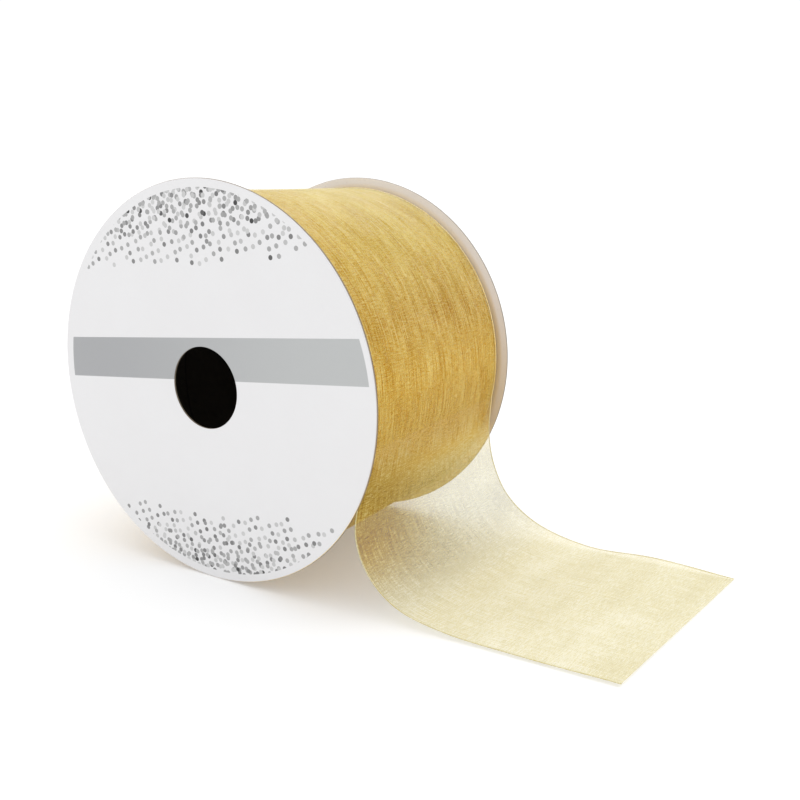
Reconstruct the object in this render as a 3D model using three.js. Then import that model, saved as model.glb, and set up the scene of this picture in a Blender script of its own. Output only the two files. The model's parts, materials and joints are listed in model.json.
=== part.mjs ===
// A ribbon spool: two round chipboard flanges glued to the ends of a wide paperboard core,
// with sheer ribbon wound between them and its loose end lying on the table.
// Millimetres, +Z up. The spool's axis runs along Y, the printed face looks along -Y,
// and the loose end leaves the roll on the +X side.

import * as THREE from 'three';

// ---- Driving dimensions ------------------------------------------------------------------

const ribbonWidth = 63.5;            // a 2 1/2 inch ribbon
const edgeClearance = 1.2;           // between a ribbon edge and the flange beside it

const flangeRadius = 49.5;
const holeRadius = 10.15;            // takes a dispenser's 20 mm rod
const boardThickness = 0.45;

const facingThickness = 0.1;         // paper with a lacquered face
const facingInset = 0.15;            // the board's cut edge shows round the facing
const glueFilm = 0.05;               // adhesive between two glued sheets

const coreRadius = 40;
const coreWall = 1.2;
const glueBeadSize = 2;              // the leg of the fillet of glue inside each core end
const glueBeadGap = 0.1;

const tapeLift = 0.1;                // the tape over the ribbon's first centimetres
const tapeThickness = 0.2;
const tapeWidth = 50;
const tapeStart = THREE.MathUtils.degToRad(100);
const tapeSpread = THREE.MathUtils.degToRad(26);

const rollInnerRadius = 40.6;
const rollOuterRadius = 46.05;

const turnThickness = 0.5;           // the outer turn and the loose end, with the air they hold
const turnRadius = 46.6;             // middle of the outer turn's thickness
const leavingAngle = THREE.MathUtils.degToRad(-12);   // where the loose end leaves the roll
const tuckedAngle = THREE.MathUtils.degToRad(-24);    // where the outer turn dives under it
const leavingGap = THREE.MathUtils.degToRad(0.6);     // between the outer turn and the loose end

// The loose end's two selvedges, as [x, z] from the spool's axis. They share the leaving
// line, drop clear of the roll, bend and then lie on the table with a low wave.
// The rear selvedge bends wider, and the end is cut at a slant.
const frontCourse = [
  [43.4, -20.0], [42.1, -30.5], [45.2, -38.8], [52.2, -45.3], [65.0, -48.4], [84.0, -49.0], [104.8, -49.2],
];
const rearCourse = [
  [45.2, -20.5], [46.9, -29.5], [51.4, -38.0], [60.0, -44.6], [75.0, -48.6], [93.0, -48.3], [113.8, -49.2],
];
const sidewaysDrift = 1.6;           // how far the loose end has strayed sideways at its cut

const discSegments = 96;
const beadSegments = 64;
const turnSteps = 90;
const tailSteps = 36;
const tailSegmentsAcross = 4;
const tapeSteps = 8;

// ---- Places worked out from them ---------------------------------------------------------

const innerFace = ribbonWidth / 2 + edgeClearance;    // of either flange, from the middle
const boardFace = innerFace + boardThickness;
const facingStart = boardFace + glueFilm;
const facingFace = facingStart + facingThickness;

// ---- Materials ---------------------------------------------------------------------------

function material(color, roughness, metalness = 0) {
  return new THREE.MeshStandardMaterial({ color, roughness, metalness });
}

const board = material(0xcfc1b6, 0.9);
const facingPaper = material(0xecedee, 0.45);
const coreBoard = material(0xa98d6d, 0.95);
const driedGlue = material(0xe6dcbf, 0.35);
const clearTape = material(0xe9e6dc, 0.25);
const woundRibbon = material(0xcfa95a, 0.6);
const sheerRibbon = new THREE.MeshStandardMaterial({
  color: 0xe9deb0,
  roughness: 0.6,
  transparent: true,
  opacity: 0.65,
});

// ---- Shapes ------------------------------------------------------------------------------

// A ring about the Y axis with a rectangular section.
function ringGeometry(innerRadius, outerRadius, lowY, highY) {
  const section = [
    new THREE.Vector2(innerRadius, lowY),
    new THREE.Vector2(outerRadius, lowY),
    new THREE.Vector2(outerRadius, highY),
    new THREE.Vector2(innerRadius, highY),
    new THREE.Vector2(innerRadius, lowY),
  ];
  return new THREE.LatheGeometry(section, discSegments);
}

// The fillet of glue in the corner between the core's bore and the rear flange. Its face
// is hollow, a quarter arc from one leg's tip to the other's.
function glueBeadGeometry() {
  const wall = coreRadius - coreWall - glueBeadGap;
  const seat = innerFace - glueBeadGap;
  const arcSteps = 4;
  const section = [new THREE.Vector2(wall, seat)];
  for (let i = 0; i <= arcSteps; i += 1) {
    const angle = (i / arcSteps) * Math.PI / 2;
    section.push(new THREE.Vector2(
      wall - glueBeadSize * (1 - Math.cos(angle)),
      seat - glueBeadSize * (1 - Math.sin(angle)),
    ));
  }
  section.push(section[0].clone());
  return new THREE.LatheGeometry(section.reverse(), beadSegments);
}

// The edge of a strip that lies round the axis, from one angle to another, at a given y.
function arcEdge(radius, fromAngle, toAngle, y) {
  return (u) => {
    const angle = THREE.MathUtils.lerp(fromAngle, toAngle, u);
    return new THREE.Vector3(radius * Math.cos(angle), y, radius * Math.sin(angle));
  };
}

// A selvedge of the loose end: a smooth curve from the leaving line through its course.
function tailEdge(course, y) {
  const leave = arcEdge(turnRadius, leavingAngle, leavingAngle, y)(0);
  const points = course.map(([x, z]) => new THREE.Vector3(x, y, z));
  const curve = new THREE.CatmullRomCurve3([leave, ...points], false, 'centripetal');
  return (u) => {
    const point = curve.getPoint(u);
    point.y += sidewaysDrift * u * u;
    return point;
  };
}

// A thin strip ruled between two edges: a box whose length follows the edges, whose depth
// runs from the front edge to the rear one and whose height is the strip's thickness.
function stripGeometry(frontEdge, rearEdge, thickness, steps, segmentsAcross) {
  const geometry = new THREE.BoxGeometry(1, 1, 1, steps, 1, segmentsAcross);
  const place = geometry.attributes.position;
  const nearby = 1e-3;
  const at = (u, w) => frontEdge(u).lerp(rearEdge(u), w);
  for (let i = 0; i < place.count; i += 1) {
    const u = place.getX(i) + 0.5;
    const w = place.getZ(i) + 0.5;
    const along = at(Math.min(u + nearby, 1), w).sub(at(Math.max(u - nearby, 0), w));
    const across = rearEdge(u).sub(frontEdge(u));
    const normal = across.cross(along).normalize();
    const point = at(u, w).addScaledVector(normal, thickness * place.getY(i));
    place.setXYZ(i, point.x, point.y, point.z);
  }
  return geometry;
}

function arcStripGeometry(radius, fromAngle, toAngle, halfWidth, thickness, steps) {
  const front = arcEdge(radius, fromAngle, toAngle, -halfWidth);
  const rear = arcEdge(radius, fromAngle, toAngle, halfWidth);
  return stripGeometry(front, rear, thickness, steps, 1);
}

// ---- Assembly, with the spool's axis on the origin ---------------------------------------

const spool = new THREE.Group();

function addPiece(name, geometry, pieceMaterial) {
  const piece = new THREE.Mesh(geometry, pieceMaterial);
  piece.name = name;
  spool.add(piece);
}

addPiece('front_flange', ringGeometry(holeRadius, flangeRadius, -boardFace, -innerFace), board);
addPiece('rear_flange', ringGeometry(holeRadius, flangeRadius, innerFace, boardFace), board);

const facingRadius = flangeRadius - facingInset;
addPiece('front_facing', ringGeometry(holeRadius, facingRadius, -facingFace, -facingStart), facingPaper);
addPiece('rear_facing', ringGeometry(holeRadius, facingRadius, facingStart, facingFace), facingPaper);

const coreEnd = innerFace - glueFilm;
addPiece('core_tube', ringGeometry(coreRadius - coreWall, coreRadius, -coreEnd, coreEnd), coreBoard);

const rearBead = glueBeadGeometry();
addPiece('rear_core_glue', rearBead, driedGlue);
addPiece('front_core_glue', rearBead.clone().rotateX(Math.PI), driedGlue);

const tapeRadius = coreRadius + tapeLift + tapeThickness / 2;
addPiece(
  'start_tape',
  arcStripGeometry(tapeRadius, tapeStart + tapeSpread, tapeStart, tapeWidth / 2, tapeThickness, tapeSteps),
  clearTape,
);

const halfRibbon = ribbonWidth / 2;
addPiece('ribbon_roll', ringGeometry(rollInnerRadius, rollOuterRadius, -halfRibbon, halfRibbon), woundRibbon);

// The outer turn runs with the ribbon: from where it is tucked under, up the far side,
// over the top and down to the leaving line.
const fullTurn = 2 * Math.PI;
addPiece(
  'outer_turn',
  arcStripGeometry(
    turnRadius,
    tuckedAngle + fullTurn,
    leavingAngle + leavingGap,
    halfRibbon,
    turnThickness,
    turnSteps,
  ),
  woundRibbon,
);
addPiece(
  'loose_tail',
  stripGeometry(
    tailEdge(frontCourse, -halfRibbon),
    tailEdge(rearCourse, halfRibbon),
    turnThickness,
    tailSteps,
    tailSegmentsAcross,
  ),
  sheerRibbon,
);

// ---- The origin is under the middle of the whole object, on the table --------------------

const box = new THREE.Box3().setFromObject(spool, true);
spool.position.set(-(box.min.x + box.max.x) / 2, 0, flangeRadius);

const group = new THREE.Group();
group.add(spool);

export default group;
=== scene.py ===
"""A short wide spool of sheer gold ribbon, its loose end laid on the table, built round the
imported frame.

Everything is in metres in the frame's own axes: the spool's axis runs along Y, the printed face
looks along -Y, and the loose end leaves the roll towards +X.
"""

import json
import math
import random

import bpy
from mathutils import Matrix, Vector, noise


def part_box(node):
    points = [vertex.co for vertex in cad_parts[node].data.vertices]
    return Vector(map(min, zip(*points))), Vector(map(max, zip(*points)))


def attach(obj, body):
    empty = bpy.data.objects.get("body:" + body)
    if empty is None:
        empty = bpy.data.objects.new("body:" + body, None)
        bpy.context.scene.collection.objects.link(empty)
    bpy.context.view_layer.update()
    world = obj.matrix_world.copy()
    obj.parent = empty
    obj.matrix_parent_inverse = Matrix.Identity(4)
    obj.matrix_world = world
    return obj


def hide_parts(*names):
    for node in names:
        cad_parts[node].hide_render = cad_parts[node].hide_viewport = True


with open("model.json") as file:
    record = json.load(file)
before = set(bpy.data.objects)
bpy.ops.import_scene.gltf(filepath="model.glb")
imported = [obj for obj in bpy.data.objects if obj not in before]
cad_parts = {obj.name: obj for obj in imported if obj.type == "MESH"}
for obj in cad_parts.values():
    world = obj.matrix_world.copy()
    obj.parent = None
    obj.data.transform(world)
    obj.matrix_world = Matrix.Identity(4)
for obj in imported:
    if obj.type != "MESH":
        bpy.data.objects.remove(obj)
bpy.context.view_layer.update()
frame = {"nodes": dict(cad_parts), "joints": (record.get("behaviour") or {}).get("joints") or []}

MM = 0.001


# ---- Sizes, from the frame -----------------------------------------------------------------

AXIS = Vector(frame["joints"][0]["pos_m"])


def outer_radius(node):
    low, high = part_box(node)
    return (high.z - low.z) / 2


FLANGE_RADIUS = outer_radius("front_flange")
FACING_RADIUS = outer_radius("front_facing")
TURN_SPACE = outer_radius("outer_turn")
CORE_RADIUS = outer_radius("core_tube")
HALF_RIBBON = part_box("ribbon_roll")[1].y
INNER_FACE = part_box("rear_flange")[0].y
BOARD_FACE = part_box("rear_flange")[1].y
FACING_START, FACING_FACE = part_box("rear_facing")[0].y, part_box("rear_facing")[1].y
CORE_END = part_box("core_tube")[1].y

HOLE_RADIUS = 10.15 * MM             # in the flanges and their facings
CORE_WALL = 1.2 * MM
ROLL_INNER_RADIUS = 40.6 * MM

# How far each cut edge is rounded.
BOARD_ROUNDING, PAPER_ROUNDING, CORE_ROUNDING = 0.12 * MM, 0.04 * MM, 0.15 * MM

# The ribbon as it really lies: turns 0.2 mm apart, and the outermost one a true spiral whose
# start is hidden beneath its end.
TURN_PITCH = 0.2 * MM
OUTER_TURN_RADIUS = TURN_SPACE - 0.1 * MM
WOUND_RADIUS = OUTER_TURN_RADIUS - 0.3 * MM
LEAVING_ANGLE = math.radians(-12)
HIDDEN_LAP = math.radians(20)        # how much of the outer turn lies beneath itself
SWELL = 0.07 * MM                    # how far the outer turn lifts and sinks on the roll
SWELLS_ROUND, SWELLS_ACROSS = 2.2, 45    # how often it does so, per turn radius and per metre
SWELL_FADE = 0.25                    # radians from the leaving line over which it comes in
RIPPLE = 0.22 * MM                   # half the height of the loose end's waves on the table
SHORT_WAVE_SHARE = 0.6               # the short waves' height next to the long ones'
WAVES_START, WAVES_FULL = 0.45, 0.75    # where they rise, as shares of the loose end's length

# Each selvedge: a flat oval bead along the strip's edge on the outer turn and loose end, and a
# fine ridge on the roll's two sides.
SELVEDGE_HALF_WIDTH, SELVEDGE_HALF_HEIGHT = 0.2 * MM, 0.09 * MM
SELVEDGE_RIDGE = 0.09 * MM

# The loose end's two selvedges, as (x, z) from the spool's axis in millimetres: the same
# courses as in the CAD model.
FRONT_COURSE = [
    (43.4, -20.0), (42.1, -30.5), (45.2, -38.8), (52.2, -45.3), (65.0, -48.4), (84.0, -49.0), (104.8, -49.2),
]
REAR_COURSE = [
    (45.2, -20.5), (46.9, -29.5), (51.4, -38.0), (60.0, -44.6), (75.0, -48.6), (93.0, -48.3), (113.8, -49.2),
]
SIDEWAYS_DRIFT = 1.6 * MM            # how far the loose end has strayed sideways at its cut

# How finely the meshes are divided.
RIM_SEGMENTS, ROLL_SEGMENTS, CORE_SEGMENTS = 320, 256, 192
CORNER_STEPS = 4
TURN_STEPS, TAIL_STEPS, ACROSS_STEPS = 320, 110, 64
SELVEDGE_SIDES = 10


# ---- Camera, floor and light ---------------------------------------------------------------

CAMERA_PLACE = Vector((3.042, -3.177, 0.998))    # from the front face's middle, in flange radii
CAMERA_AZIMUTH = math.radians(31.22)
CAMERA_ELEVATION = math.radians(13.84)
CAMERA_LENS, CAMERA_SENSOR = 40.55, 36.0    # millimetres

FLOOR_HALF = 20                      # metres, so that its edge is far past the view
SKY_STRENGTH = 1.06
CEILING_FROM = Vector((0.15, 0.30, 1.0))    # the direction that the light comes from
CEILING_SPREAD = math.radians(80)
CEILING_STRENGTH = 0.95


def add_camera():
    data = bpy.data.cameras.new("camera")
    data.lens = CAMERA_LENS
    data.sensor_width = CAMERA_SENSOR
    data.clip_start = 0.01
    camera = bpy.data.objects.new("camera", data)
    bpy.context.scene.collection.objects.link(camera)
    turn = Matrix.Rotation(CAMERA_AZIMUTH, 3, "Z")
    tilt = Matrix.Rotation(math.pi / 2 - CAMERA_ELEVATION, 3, "X")
    hub = Vector((AXIS.x, -FACING_FACE, AXIS.z))
    place = Matrix.Translation(hub + CAMERA_PLACE * FLANGE_RADIUS)
    camera.matrix_world = place @ (turn @ tilt).to_4x4()
    bpy.context.scene.camera = camera


def add_floor():
    half = FLOOR_HALF
    corners = [(-half, -half, 0), (half, -half, 0), (half, half, 0), (-half, half, 0)]
    mesh = bpy.data.meshes.new("studio_floor")
    mesh.from_pydata(corners, [], [(0, 1, 2, 3)])
    mesh.materials.append(floor_material())
    floor = bpy.data.objects.new("studio_floor", mesh)
    bpy.context.scene.collection.objects.link(floor)


def add_white_surroundings():
    world = bpy.data.worlds.new("studio")
    world.use_nodes = True
    background = world.node_tree.nodes["Background"]
    background.inputs["Color"].default_value = (1, 1, 1, 1)
    background.inputs["Strength"].default_value = SKY_STRENGTH
    bpy.context.scene.world = world
    bpy.context.scene.view_settings.view_transform = "Standard"


def add_ceiling_light():
    """A light as wide as a ceiling panel, from far away, so that the whole floor gets the same."""
    data = bpy.data.lights.new("ceiling", "SUN")
    data.angle = CEILING_SPREAD
    data.energy = CEILING_STRENGTH
    light = bpy.data.objects.new("ceiling", data)
    bpy.context.scene.collection.objects.link(light)
    light.rotation_euler = CEILING_FROM.to_track_quat("Z", "Y").to_euler()


# ---- Material graphs -----------------------------------------------------------------------

def rgb(red, green, blue):
    """A colour as a screen shows it, 0 to 255, as the linear one that a shader takes."""
    def linear(value):
        share = value / 255
        return share / 12.92 if share <= 0.04045 else ((share + 0.055) / 1.055) ** 2.4
    return (linear(red), linear(green), linear(blue), 1)


class Graph:
    """A material's nodes, with one short method for each kind that the materials use."""

    def __init__(self, name):
        self.material = bpy.data.materials.new(name)
        self.material.use_nodes = True
        self.tree = self.material.node_tree
        self.surface = self.tree.nodes["Principled BSDF"]

    def node(self, kind, inputs=(), **settings):
        made = self.tree.nodes.new(kind)
        for name, value in settings.items():
            setattr(made, name, value)
        for key, value in dict(inputs).items():
            self.feed(made.inputs[key], value)
        return made

    def feed(self, socket, value):
        if isinstance(value, bpy.types.NodeSocket):
            self.tree.links.new(value, socket)
        else:
            socket.default_value = value

    def set(self, **inputs):
        """Feeds the surface's sockets, named with _ for a space."""
        for name, value in inputs.items():
            self.feed(self.surface.inputs[name.replace("_", " ")], value)

    def math(self, operation, a, b=0.0, clamp=False):
        return self.node("ShaderNodeMath", {0: a, 1: b}, operation=operation, use_clamp=clamp).outputs[0]

    def vector(self, operation, a, b):
        return self.node("ShaderNodeVectorMath", {0: a, 1: b}, operation=operation).outputs[0]

    def length(self, vector):
        return self.node("ShaderNodeVectorMath", {0: vector}, operation="LENGTH").outputs["Value"]

    def split(self, vector):
        return self.node("ShaderNodeSeparateXYZ", {0: vector}).outputs

    def join(self, x, y, z=0.0):
        return self.node("ShaderNodeCombineXYZ", {0: x, 1: y, 2: z}).outputs[0]

    def mix(self, factor, a, b):
        node = self.node("ShaderNodeMix", data_type="RGBA")
        self.feed(node.inputs["Factor"], factor)
        self.feed(node.inputs[6], a)
        self.feed(node.inputs[7], b)
        return node.outputs[2]

    def ramp(self, factor, stops):
        """A colour read off a row of (place, colour) stops."""
        node = self.node("ShaderNodeValToRGB", {0: factor})
        elements = node.color_ramp.elements
        while len(elements) < len(stops):
            elements.new(0.5)
        for element, (place, colour) in zip(elements, stops):
            element.position = place
            element.color = colour
        return node.outputs[0]

    def between(self, value, low, high, to_low=0.0, to_high=1.0):
        """A smooth step: to_low where value is below low, to_high above high."""
        inputs = {"Value": value, "From Min": low, "From Max": high, "To Min": to_low, "To Max": to_high}
        return self.node("ShaderNodeMapRange", inputs, interpolation_type="SMOOTHSTEP").outputs[0]

    def noise(self, vector, scale=1.0, detail=2.0):
        inputs = {"Vector": vector, "Scale": scale, "Detail": detail}
        return self.node("ShaderNodeTexNoise", inputs).outputs[0]

    def bump(self, height, distance):
        inputs = {"Height": height, "Distance": distance, "Strength": 1.0}
        return self.node("ShaderNodeBump", inputs).outputs[0]

    def place(self):
        """The point in the frame's axes, from the middle of the spool's axis."""
        point = self.node("ShaderNodeTexCoord").outputs["Object"]
        return self.vector("SUBTRACT", point, tuple(AXIS))

    def strip_place(self):
        """Metres along the ribbon and across it."""
        return self.node("ShaderNodeUVMap", uv_map="strip").outputs[0]


def floor_material():
    """A pale sweep that glows a little, so that the shadow on it stays faint."""
    graph = Graph("studio_floor")
    grain = graph.noise(graph.node("ShaderNodeTexCoord").outputs["Object"], scale=4)
    graph.set(Base_Color=graph.mix(grain, rgb(214, 214, 214), rgb(218, 218, 218)), Roughness=0.9)
    graph.set(Emission_Color=(1, 1, 1, 1), Emission_Strength=0.24)
    return graph.material


# ---- The printed facing --------------------------------------------------------------------

PRINT_TURN = math.radians(4.85)      # how far the spool stands turned from the print's upright
PRINT_RADIUS = 47.4 * MM             # the print stops short of the rim
PRINT_SHIFT = 0.5 * MM               # and is struck a little off centre
BAND_MIDDLE, BAND_HALF = 7.1 * MM, 5.2 * MM
INK_SOFTNESS = 0.03 * MM             # half the width of a printed edge
DOT_RADIUS = 0.58 * MM

# Four scatters of dots, each as (its spacing, how far it stands turned, the height on the print
# where it starts, the height where every dot of it shows), in millimetres and radians.
SCATTERS = (
    (2.3, 0.30, 29.4, 33.6),
    (2.4, 1.10, 32.1, 41.6),
    (2.3, 2.20, 38.1, 46.6),
    (2.2, 0.75, 41.1, 48.1),
)
SCATTER_LIFT = 0.6 * MM              # the lower dots start further out than the upper by twice this


def greys(*stops):
    return [(place, rgb(level, level, level)) for place, level in stops]


# From the palest ink to the nearly black one, by each dot's share of the scatter.
DOT_INKS = greys((0.0, 196), (0.32, 186), (0.38, 166), (0.62, 156), (0.70, 136), (0.93, 116), (0.97, 54))
BLACK_DOTS_START = 38.6 * MM         # no dot takes the nearly black ink closer in than this
SHARE_WITHOUT_BLACK = 0.96


def turned(graph, x, y, angle):
    """The point (x, y) in axes that stand turned by angle."""
    cosine, sine = math.cos(angle), math.sin(angle)
    along = graph.math("ADD", graph.math("MULTIPLY", x, cosine), graph.math("MULTIPLY", y, sine))
    beside = graph.math("SUBTRACT", graph.math("MULTIPLY", y, cosine), graph.math("MULTIPLY", x, sine))
    return along, beside


def inside(graph, value, limit):
    """1 where value is under limit, with an edge as soft as printing ink's."""
    return graph.between(value, limit - INK_SOFTNESS, limit + INK_SOFTNESS, 1.0, 0.0)


def dots(graph, across, up, cell, turn, start, full):
    """One scatter of round dots: where its ink lies, and each dot's place from the palest ink to
    the darkest. Few dots show where the scatter starts, and all of them where it's full."""
    spread = 1 - 2.1 * DOT_RADIUS / cell    # so that no two dots of one scatter overlap
    cells = {"Vector": graph.join(*turned(graph, across, up, turn)), "Scale": 1 / cell, "Randomness": spread}
    scatter = graph.node("ShaderNodeTexVoronoi", cells, voronoi_dimensions="2D")
    disc = inside(graph, graph.math("MULTIPLY", scatter.outputs["Distance"], cell), DOT_RADIUS)

    middle_x, middle_y, _ = graph.split(scatter.outputs["Position"])
    _, height = turned(graph, middle_x, middle_y, -turn)
    height = graph.math("ABSOLUTE", graph.math("ADD", height, SCATTER_LIFT))
    chance, shade, _ = graph.split(scatter.outputs["Color"])
    chosen = graph.math("LESS_THAN", chance, graph.between(height, start, full))
    far_out = graph.math("GREATER_THAN", height, BLACK_DOTS_START)
    shade = graph.math("MULTIPLY", shade, graph.between(far_out, 0, 1, SHARE_WITHOUT_BLACK, 1))
    return graph.math("MULTIPLY", disc, chosen), shade


def with_print(graph, paper):
    """The paper's colour with the grey dots and the grey band printed on it."""
    x, _, z = graph.split(graph.place())
    across, up = turned(graph, x, z, PRINT_TURN)
    from_middle = graph.length(graph.join(graph.math("SUBTRACT", across, PRINT_SHIFT), up))
    printed = inside(graph, from_middle, PRINT_RADIUS)
    colour = paper
    for cell, turn, start, full in SCATTERS:
        disc, shade = dots(graph, across, up, cell * MM, turn, start * MM, full * MM)
        colour = graph.mix(graph.math("MULTIPLY", disc, printed), colour, graph.ramp(shade, DOT_INKS))
    from_band = graph.math("ABSOLUTE", graph.math("SUBTRACT", up, BAND_MIDDLE))
    band = graph.math("MULTIPLY", inside(graph, from_band, BAND_HALF), printed)
    rightwards = graph.between(across, -0.9 * PRINT_RADIUS, 0.9 * PRINT_RADIUS)
    return graph.mix(band, colour, graph.mix(rightwards, rgb(158, 159, 161), rgb(178, 180, 180)))


def paper_material(name, printed):
    """White coated paper with a faint grain."""
    graph = Graph(name)
    point = graph.place()
    fibres = graph.noise(point, scale=900, detail=4)
    clouds = graph.noise(point, scale=60, detail=3)
    colour = graph.mix(clouds, rgb(221, 220, 221), rgb(224, 224, 225))
    if printed:
        colour = with_print(graph, colour)
    graph.set(Base_Color=colour, Roughness=graph.between(fibres, 0.2, 0.8, 0.38, 0.5))
    graph.set(Normal=graph.bump(fibres, 0.02 * MM))
    return graph.material


# ---- Boards, glue and tape -----------------------------------------------------------------

PAINTED_GLOW_WIDTH = 1.4 * MM                # how far the painted gold light and shade reach out on the board beside the roll


def with_painted_gold_light(graph, face):
    """Painted light and shade on the board's face: a painted shade and gold light on its lower half,
    a brighter painted gold light behind the loose end, and close beside the roll a painted gold
    that is darker low down and paler higher up. All of it stands for the gold light that the
    ribbon throws on the board and the shade beneath and beside the roll. Heights are from the
    spool's axis, as the spool stands, because the ribbon's end stays where it is when the spool turns."""
    position = graph.node("ShaderNodeNewGeometry").outputs["Position"]
    x, _, z = graph.split(graph.vector("SUBTRACT", position, tuple(AXIS)))
    behind_end = graph.between(z, -26 * MM, -16 * MM, 1.0, 0.0)
    # Painted shade and gold light on the lower half, with a brighter painted gold behind the loose end.
    painted_lower_cast = graph.mix(behind_end, rgb(204, 183, 152), rgb(254, 230, 176))
    face = graph.mix(graph.between(z, -32 * MM, 28 * MM, 1.0, 0.0), face, painted_lower_cast)
    # Painted gold light and shade beside the roll: darker low down, paler higher up, brightest behind the
    # loose end.
    beside = graph.mix(graph.between(z, 5 * MM, 40 * MM), rgb(208, 182, 138), rgb(228, 214, 190))
    beside = graph.mix(behind_end, beside, rgb(255, 226, 158))
    radius = graph.length(graph.join(x, 0.0, z))
    return graph.mix(graph.between(radius, TURN_SPACE, TURN_SPACE + PAINTED_GLOW_WIDTH, 0.9, 0.0), face, beside)


def chipboard_material():
    """Pinkish white board with darker flecks and painted gold light and shade, and a browner cut edge that
    shows its plies.
    """
    graph = Graph("flange_board")
    point = graph.place()
    flecks = graph.noise(point, scale=1400, detail=3)
    clouds = graph.noise(point, scale=90, detail=3)
    face = with_painted_gold_light(graph, graph.mix(clouds, rgb(221, 215, 212), rgb(227, 221, 219)))
    face = graph.mix(graph.between(flecks, 0.66, 0.78, 0.0, 0.6), face, rgb(176, 160, 150))
    plies = graph.noise(graph.vector("MULTIPLY", point, (300, 9000, 300)), detail=2)
    edge = graph.mix(plies, rgb(98, 88, 76), rgb(142, 129, 112))
    normal = graph.split(graph.node("ShaderNodeNewGeometry").outputs["True Normal"])
    flat = graph.between(graph.math("ABSOLUTE", normal[1]), 0.75, 0.99)
    graph.set(Base_Color=graph.mix(flat, edge, face), Roughness=0.88)
    graph.set(Normal=graph.bump(graph.mix(flat, plies, flecks), 0.03 * MM))
    return graph.material


def core_material():
    """Dark brown paperboard wound in a spiral, with a seam every 45 mm of its length."""
    graph = Graph("core_board")
    point = graph.place()
    x, y, z = graph.split(point)
    seam_pitch = 45 * MM
    turn = graph.math("DIVIDE", graph.math("ARCTAN2", z, x), 2 * math.pi)
    rise = graph.math("FRACT", graph.math("ADD", turn, graph.math("DIVIDE", y, seam_pitch)))
    seam = graph.between(graph.math("ABSOLUTE", graph.math("SUBTRACT", rise, 0.5)), 0.0, 0.012, 1.0, 0.0)
    fibres = graph.noise(point, scale=700, detail=4)
    colour = graph.mix(fibres, rgb(46, 41, 35), rgb(62, 55, 47))
    graph.set(Base_Color=graph.mix(seam, colour, rgb(34, 30, 26)), Roughness=0.9)
    graph.set(Normal=graph.bump(graph.math("SUBTRACT", fibres, seam), 0.05 * MM))
    return graph.material


def glue_material():
    graph = Graph("hot_melt")
    lumps = graph.noise(graph.place(), scale=260, detail=2)
    graph.set(Base_Color=graph.mix(lumps, rgb(226, 212, 178), rgb(240, 230, 204)), Roughness=0.3)
    graph.set(Subsurface_Weight=0.3, Subsurface_Scale=0.001, Normal=graph.bump(lumps, 0.2 * MM))
    return graph.material


def tape_material():
    graph = Graph("clear_tape")
    scuffs = graph.noise(graph.vector("MULTIPLY", graph.place(), (900, 60, 900)), detail=2)
    graph.set(Base_Color=graph.mix(scuffs, rgb(226, 222, 208), rgb(240, 238, 228)), Roughness=0.2)
    graph.set(Alpha=0.55, Normal=graph.bump(scuffs, 0.02 * MM))
    return graph.material


# ---- Ribbon --------------------------------------------------------------------------------

# What makes the cloth's pattern, as (a streak's length and width, its share on the roll, its
# share on the loose end).
THREADS = (
    ((10 * MM, 0.25 * MM), 1.45, 0.9),     # the threads along the ribbon
    ((0.3 * MM, 2.4 * MM), 0.85, 0.95),    # the threads across it
    ((0.26 * MM, 0.26 * MM), 1.2, 1.3),    # the grain of both
    ((9 * MM, 40 * MM), 0.0, 0.6),         # the loose end's faint cross waves
)
MOTTLE_SIZE = (18 * MM, 7 * MM)      # the clouds that several layers make
MOTTLE_ON_ROLL, MOTTLE_LOOSE = 0.5, 0.2
LIGHTEST_ON_ROLL, LIGHTEST_LOOSE = 0.18, 0.32    # the cloth values above which threads get no paler
CONTRAST_ON_ROLL, CONTRAST_LOOSE = 2.7, 1.8      # how strongly the cloth's value shows in its colour
LETTING_GO = 12 * MM                 # the length over which the roll's look becomes the loose end's

# How the ribbon reads on the roll, as (degrees back from the leaving line, colour), with painted
# light and shade: a painted shade makes it deep gold at the side, and a painted highlight makes it
# pale on top, where its threads catch the light.
TURN_COLOURS_WITH_PAINTED_LIGHT = (
    (0, (215, 178, 70)),
    (14, (213, 175, 68)),
    (34, (184, 152, 78)),
    (59, (197, 180, 101)),
    (86, (230, 226, 170)),
    (124, (230, 226, 170)),
    (160, (196, 178, 100)),
    (200, (188, 156, 78)),
    (320, (215, 178, 70)),
)
# And along the loose end, as (millimetres past the leaving line, colour, how solid it is). The darker
# colours from 16 to 30 mm, where it hangs down under the roll, are painted shade.
TAIL_LOOKS = (
    (0, (215, 178, 84), 0.42),
    (9, (226, 194, 96), 0.48),
    (16, (184, 170, 96), 0.48),
    (30, (172, 162, 98), 0.49),
    (46, (219, 209, 155), 0.54),
)
TAIL_RANGE = 50                      # millimetres of the loose end that its ramps cover
BEND_SHADOW_GOLD = rgb(172, 140, 48)        # the painted shadow of the spool, in the roll's gold, where the loose end bends
BEND_SHADOW_SOLIDITY = 0.24                 # how much more solid the loose end reads under that painted shadow


def streaks(graph, strip, size):
    """Noise whose patches measure size along and across the ribbon, centred on 0."""
    stretched = graph.vector("DIVIDE", strip, (*size, 1))
    return graph.math("SUBTRACT", graph.noise(stretched), 0.5)


def woven(graph, loose):
    """How light the cloth reads at each point: about 0 on average, from its clouds and threads."""
    strip = graph.strip_place()
    mottle = graph.between(loose, 0.0, 1.0, MOTTLE_ON_ROLL, MOTTLE_LOOSE)
    cloth = graph.math("MULTIPLY", streaks(graph, strip, MOTTLE_SIZE), mottle)
    for size, on_roll, off_roll in THREADS:
        share = graph.between(loose, 0.0, 1.0, on_roll, off_roll)
        cloth = graph.math("ADD", cloth, graph.math("MULTIPLY", streaks(graph, strip, size), share))
    return graph.math("MINIMUM", cloth, graph.between(loose, 0.0, 1.0, LIGHTEST_ON_ROLL, LIGHTEST_LOOSE))


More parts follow.
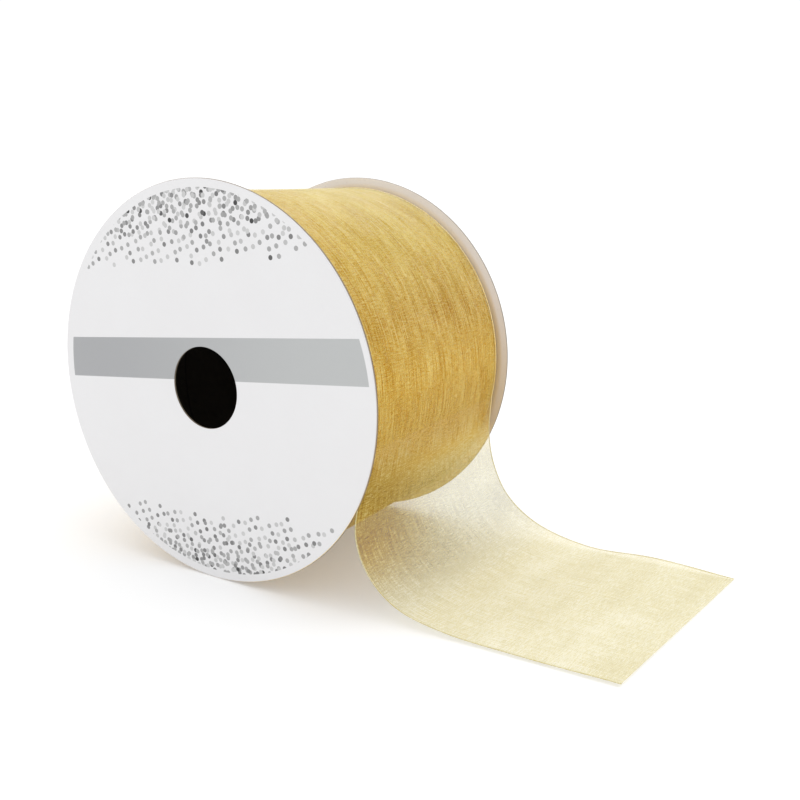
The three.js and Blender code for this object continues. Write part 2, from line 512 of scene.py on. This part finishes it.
def weave(graph, colour, loose, alpha=1.0):
    """Finishes a ribbon's material. Where the cloth is dark it's also richer, as several layers
    are. loose is 0 on the roll and 1 where the ribbon hangs free."""
    cloth = woven(graph, loose)
    contrast = graph.between(loose, 0.0, 1.0, CONTRAST_ON_ROLL, CONTRAST_LOOSE)
    richness = graph.math("SUBTRACT", 1.0, graph.math("MULTIPLY", cloth, contrast))
    colour = graph.node("ShaderNodeGamma", {0: colour, 1: richness}).outputs[0]
    graph.set(Base_Color=colour, Roughness=0.5, Alpha=alpha, Specular_IOR_Level=0.1)
    graph.set(Sheen_Weight=0.2, Sheen_Roughness=0.3, Sheen_Tint=rgb(255, 246, 214))
    graph.set(Normal=graph.bump(cloth, 0.05 * MM))
    return graph.material


def wound_material():
    return weave(Graph("wound_ribbon"), rgb(214, 177, 66), loose=0.0)


def selvedge_material(leaving):
    """leaving is the length of the ribbon's run where it lets go of the roll."""
    graph = Graph("selvedge")
    run = graph.split(graph.strip_place())[0]
    loose = graph.between(run, leaving, leaving + LETTING_GO)
    # On the roll the selvedge is painted paler than on the loose end: a painted light that lifts the shade
    # beside the flanges.
    return weave(graph, graph.mix(loose, rgb(255, 232, 166), rgb(218, 208, 160)), loose, alpha=0.8)


def wound_colour(graph, past, across):
    """The outer turn's colour by its place round the roll, with its painted highlight and shade, and a
    painted shade that makes it deeper along its front edge.
    """
    back = graph.math("DIVIDE", past, -2 * math.pi * OUTER_TURN_RADIUS, clamp=True)
    colour = graph.ramp(back, [(degrees / 360, rgb(*stop)) for degrees, stop in TURN_COLOURS_WITH_PAINTED_LIGHT])
    # Painted shade: deeper gold along the front edge.
    front = graph.between(across, -HALF_RIBBON, 0.2 * HALF_RIBBON, 0.3, 0.0)
    return graph.mix(front, colour, rgb(198, 156, 40))


def loose_looks(graph, past):
    """The loose end's colour, and how solid it is."""
    along = graph.math("DIVIDE", past, TAIL_RANGE * MM, clamp=True)
    colours = [(past_mm / TAIL_RANGE, rgb(*colour)) for past_mm, colour, _ in TAIL_LOOKS]
    shares = [(past_mm / TAIL_RANGE, (share, share, share, 1)) for past_mm, _, share in TAIL_LOOKS]
    return graph.ramp(along, colours), graph.ramp(along, shares)


def bend_shade(graph, past, across):
    """How much painted shadow the loose end takes: the spool's shadow beneath it, painted in the
    roll's gold, most where its front half bends out from under the spool, none on the rear edge or further
    out."""
    front = graph.between(across, -HALF_RIBBON, 0.3 * HALF_RIBBON, 1.0, 0.0)
    starting = graph.between(past, 0.0, 14 * MM)
    ending = graph.between(past, 24 * MM, 42 * MM, 1.0, 0.0)
    return graph.math("MULTIPLY", front, graph.math("MULTIPLY", starting, ending))


def sheer_material(leaving):
    """The ribbon's outer turn and loose end. leaving is the length of its run where it lets go of
    the roll. Its start, hidden beneath the rest, fades into the turns below."""
    graph = Graph("sheer_ribbon")
    run, across, _ = graph.split(graph.strip_place())
    past = graph.math("SUBTRACT", run, leaving)
    loose_colour, solid = loose_looks(graph, past)
    on_roll = wound_colour(graph, past, across)
    colour = graph.mix(graph.math("GREATER_THAN", past, 0.0), on_roll, loose_colour)
    # Painted shadow of the spool, seen through the loose end where it bends.
    shade = bend_shade(graph, past, across)
    colour = graph.mix(shade, colour, BEND_SHADOW_GOLD)
    solid = graph.math("ADD", solid, graph.math("MULTIPLY", shade, BEND_SHADOW_SOLIDITY))
    solid = graph.math("MULTIPLY", solid, graph.between(run, 0.0, HIDDEN_LAP * OUTER_TURN_RADIUS))
    return weave(graph, colour, graph.between(past, 0.0, LETTING_GO), alpha=solid)


# ---- Meshes --------------------------------------------------------------------------------

def add_piece(name, mesh, material, body, slot, *nodes):
    piece = bpy.data.objects.new(name, mesh)
    bpy.context.scene.collection.objects.link(piece)
    mesh.materials.append(material)
    mesh.shade_smooth()
    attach(piece, body)
    if nodes:
        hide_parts(*nodes)
    return piece


def grid_mesh(name, rows, places, wrap=False):
    """A mesh over rows of points, with the strip places of the same points as its UV map.
    Where it wraps, the last point of each row joins the first."""
    count = len(rows[0])
    points = [point for row in rows for point in row]
    flat_places = [place for row in places for place in row]
    faces = []
    for i in range(len(rows) - 1):
        for j in range(count if wrap else count - 1):
            after = (j + 1) % count
            faces.append((i * count + j, i * count + after, (i + 1) * count + after, (i + 1) * count + j))
    mesh = bpy.data.meshes.new(name)
    mesh.from_pydata(points, [], faces)
    layer = mesh.uv_layers.new(name="strip")
    layer.uv.foreach_set("vector", [c for loop in mesh.loops for c in flat_places[loop.vertex_index]])
    return mesh


def turned_mesh(name, profile, segments):
    """A closed profile of (radius, y) points turned about the spool's axis, with the way round
    and y as its UV map."""
    count = len(profile)
    outermost = profile[0][0]
    points, faces, places = [], [], []
    for i in range(segments):
        after = (i + 1) % segments
        angle = 2 * math.pi * i / segments
        for j, (radius, y) in enumerate(profile):
            k = (j + 1) % count
            points.append((AXIS.x + radius * math.cos(angle), y, AXIS.z + radius * math.sin(angle)))
            faces.append((i * count + j, i * count + k, after * count + k, after * count + j))
            for turn, corner in ((i, j), (i, k), (i + 1, k), (i + 1, j)):
                places += [2 * math.pi * turn / segments * outermost, profile[corner][1]]
    mesh = bpy.data.meshes.new(name)
    mesh.from_pydata(points, [], faces)
    mesh.uv_layers.new(name="strip").uv.foreach_set("vector", places)
    mesh.set_sharp_from_angle(angle=math.radians(40))
    return mesh


def ring_profile(inner, outer, low, high, rounding):
    """A rectangle with its four corners rounded by arcs."""
    corners = [
        (outer - rounding, low + rounding, -90),
        (outer - rounding, high - rounding, 0),
        (inner + rounding, high - rounding, 90),
        (inner + rounding, low + rounding, 180),
    ]
    profile = []
    for radius, y, start in corners:
        for i in range(CORNER_STEPS + 1):
            angle = math.radians(start + 90 * i / CORNER_STEPS)
            profile.append((radius + rounding * math.cos(angle), y + rounding * math.sin(angle)))
    return profile


# ---- The spool -----------------------------------------------------------------------------

def add_flange(side, sign, board, paper, paper_slot):
    """A flange's board and its facing. sign is -1 at the front and 1 at the rear."""
    low, high = sorted((sign * INNER_FACE, sign * BOARD_FACE))
    profile = ring_profile(HOLE_RADIUS, FLANGE_RADIUS, low, high, BOARD_ROUNDING)
    mesh = turned_mesh(f"{side}_board", profile, RIM_SEGMENTS)
    add_piece(f"{side}_board", mesh, board, "spool", "flange_board", f"{side}_flange")
    low, high = sorted((sign * FACING_START, sign * FACING_FACE))
    profile = ring_profile(HOLE_RADIUS, FACING_RADIUS, low, high, PAPER_ROUNDING)
    mesh = turned_mesh(f"{side}_paper", profile, RIM_SEGMENTS)
    add_piece(f"{side}_paper", mesh, paper, "spool", paper_slot, f"{side}_facing")


def add_flanges():
    board = chipboard_material()
    add_flange("front", -1, board, paper_material("printed_facing", printed=True), "printed_facing")
    add_flange("rear", 1, board, paper_material("plain_facing", printed=False), "plain_facing")


def add_core():
    profile = ring_profile(CORE_RADIUS - CORE_WALL, CORE_RADIUS, -CORE_END, CORE_END, CORE_ROUNDING)
    mesh = turned_mesh("core", profile, CORE_SEGMENTS)
    add_piece("core", mesh, core_material(), "spool", "core_board", "core_tube")


def add_roll():
    """The wound turns. Each turn's selvedge stands as a fine ridge on the roll's two sides, some
    further out than others."""
    turns = round((WOUND_RADIUS - ROLL_INNER_RADIUS) / TURN_PITCH)
    shuffle = random.Random(5)
    side = []
    for i in range(turns):
        radius = WOUND_RADIUS - (i + 0.5) * TURN_PITCH
        side.append((radius + TURN_PITCH * 0.45, HALF_RIBBON - SELVEDGE_RIDGE))
        side.append((radius, HALF_RIBBON + SELVEDGE_RIDGE * shuffle.uniform(0.2, 1.0)))
    side.append((ROLL_INNER_RADIUS, HALF_RIBBON - SELVEDGE_RIDGE))
    far = [(WOUND_RADIUS, HALF_RIBBON - 2 * SELVEDGE_RIDGE)] + side
    profile = [(radius, -y) for radius, y in reversed(far)] + far
    mesh = turned_mesh("wound_turns", profile, ROLL_SEGMENTS)
    add_piece("wound_turns", mesh, wound_material(), "spool", "wound_ribbon", "ribbon_roll")


# ---- The ribbon's outer turn and loose end ---------------------------------------------------

def smooth_course(points):
    """A centripetal Catmull-Rom curve through points, as a function of 0 to 1."""
    ends = [points[0] * 2 - points[1], *points, points[-1] * 2 - points[-2]]

    def at(u):
        spans = len(points) - 1
        i = min(int(u * spans), spans - 1)
        t = u * spans - i
        a, b, c, d = ends[i:i + 4]
        knots = [0.0]
        for near, far in ((a, b), (b, c), (c, d)):
            knots.append(knots[-1] + max((far - near).length, 1e-9) ** 0.5)
        k = knots[1] + t * (knots[2] - knots[1])
        ab = a.lerp(b, (k - knots[0]) / (knots[1] - knots[0]))
        bc = b.lerp(c, (k - knots[1]) / (knots[2] - knots[1]))
        cd = c.lerp(d, (k - knots[2]) / (knots[3] - knots[2]))
        abc = ab.lerp(bc, (k - knots[0]) / (knots[2] - knots[0]))
        bcd = bc.lerp(cd, (k - knots[1]) / (knots[3] - knots[1]))
        return abc.lerp(bcd, (k - knots[1]) / (knots[2] - knots[1]))
    return at


def tail_edge(course, y):
    """A selvedge of the loose end, from the leaving line to its cut, as a function of 0 to 1."""
    leaving = Vector((math.cos(LEAVING_ANGLE), 0, math.sin(LEAVING_ANGLE))) * OUTER_TURN_RADIUS
    points = [leaving] + [Vector((x, 0, z)) * MM for x, z in course]
    curve = smooth_course(points)
    return lambda u: AXIS + curve(u) + Vector((0, y + SIDEWAYS_DRIFT * u * u, 0))


def ripple(u, w):
    """How far the loose end lifts off its plain course: low waves that grow along it. u runs
    along it and w across it, both from 0 to 1."""
    growth = min(max((u - WAVES_START) / (WAVES_FULL - WAVES_START), 0.0), 1.0)
    long_wave = math.sin(2 * math.pi * (2.3 * u + 0.35 * w))
    short_wave = math.sin(2 * math.pi * (3.9 * u - 0.55 * w + 0.3))
    height = (long_wave + SHORT_WAVE_SHARE * short_wave) / (1 + SHORT_WAVE_SHARE)
    return RIPPLE * growth * (1 + height)


def turn_row(back):
    """Points across the ribbon on the roll, back radians before the leaving line."""
    angle = LEAVING_ANGLE + back
    outward_x, outward_z = math.cos(angle), math.sin(angle)
    plain_radius = OUTER_TURN_RADIUS - TURN_PITCH * back / (2 * math.pi)
    row = []
    for j in range(ACROSS_STEPS + 1):
        y = HALF_RIBBON * (2 * j / ACROSS_STEPS - 1)
        where = Vector((outward_x * SWELLS_ROUND, y * SWELLS_ACROSS, outward_z * SWELLS_ROUND))
        radius = plain_radius + SWELL * noise.noise(where) * min(1, back / SWELL_FADE)
        row.append(AXIS + Vector((radius * outward_x, y, radius * outward_z)))
    return row


def tail_row(start, end, u):
    """Points across the loose end, from its front selvedge to its rear one."""
    shares = [j / ACROSS_STEPS for j in range(ACROSS_STEPS + 1)]
    return [start.lerp(end, w) + Vector((0, 0, ripple(u, w))) for w in shares]


def strip_points():
    """Rows of points from the hidden start, round the roll and along the loose end."""
    whole = 2 * math.pi + HIDDEN_LAP
    rows = [turn_row(whole * (1 - i / TURN_STEPS)) for i in range(TURN_STEPS)]
    front, rear = tail_edge(FRONT_COURSE, -HALF_RIBBON), tail_edge(REAR_COURSE, HALF_RIBBON)
    for i in range(TAIL_STEPS + 1):
        u = i / TAIL_STEPS
        rows.append(tail_row(front(u), rear(u), u))
    return rows


def strip_places(rows):
    """Metres along the ribbon and across it, for each point, and its whole length."""
    places, run = [], 0.0
    middle = len(rows[0]) // 2
    for i, row in enumerate(rows):
        if i:
            run += (row[middle] - rows[i - 1][middle]).length
        places.append([(run, HALF_RIBBON * (2 * j / (len(row) - 1) - 1)) for j in range(len(row))])
    return places, run


def selvedge_mesh(name, line, inward):
    """A flat woven edge: an oval section that follows line, a little inside the strip's edge."""
    rows, places, run = [], [], 0.0
    for i, point in enumerate(line):
        before, after = line[max(i - 1, 0)], line[min(i + 1, len(line) - 1)]
        along = (after - before).normalized()
        inwards = inward[i].normalized()
        normal = along.cross(inwards).normalized()
        if i:
            run += (point - line[i - 1]).length
        ring = []
        for k in range(SELVEDGE_SIDES):
            angle = 2 * math.pi * k / SELVEDGE_SIDES
            across = SELVEDGE_HALF_WIDTH + SELVEDGE_HALF_WIDTH * math.cos(angle)
            ring.append(point + inwards * across + normal * SELVEDGE_HALF_HEIGHT * math.sin(angle))
        rows.append(ring)
        places.append([(run, k * SELVEDGE_HALF_WIDTH) for k in range(SELVEDGE_SIDES)])
    return grid_mesh(name, rows, places, wrap=True)


def add_ribbon():
    rows = strip_points()
    places, length = strip_places(rows)
    leaving = places[TURN_STEPS][0][0]
    mesh = grid_mesh("ribbon", rows, places)
    sheer = sheer_material(leaving)
    ribbon = add_piece("ribbon", mesh, sheer, "ribbon_end", "sheer_ribbon", "outer_turn", "loose_tail")
    edge = selvedge_material(leaving)
    for name, j, step in (("front_selvedge", 0, 1), ("rear_selvedge", ACROSS_STEPS, -1)):
        line = [row[j] for row in rows]
        inward = [row[j + step] - row[j] for row in rows]
        mesh = selvedge_mesh(name, line, inward)
        add_piece(name, mesh, edge, "ribbon_end", "sheer_ribbon")


# ---- Small pieces that keep their CAD shape ----------------------------------------------------

def recolour_small_pieces():
    glue = glue_material()
    tape = tape_material()
    for node, material in (("front_core_glue", glue), ("rear_core_glue", glue), ("start_tape", tape)):
        materials = frame["nodes"][node].data.materials
        materials.clear()
        materials.append(material)


# ---- Building ------------------------------------------------------------------------------

add_camera()
add_flanges()
add_core()
add_roll()
add_ribbon()
recolour_small_pieces()
add_floor()
add_white_surroundings()
add_ceiling_light()
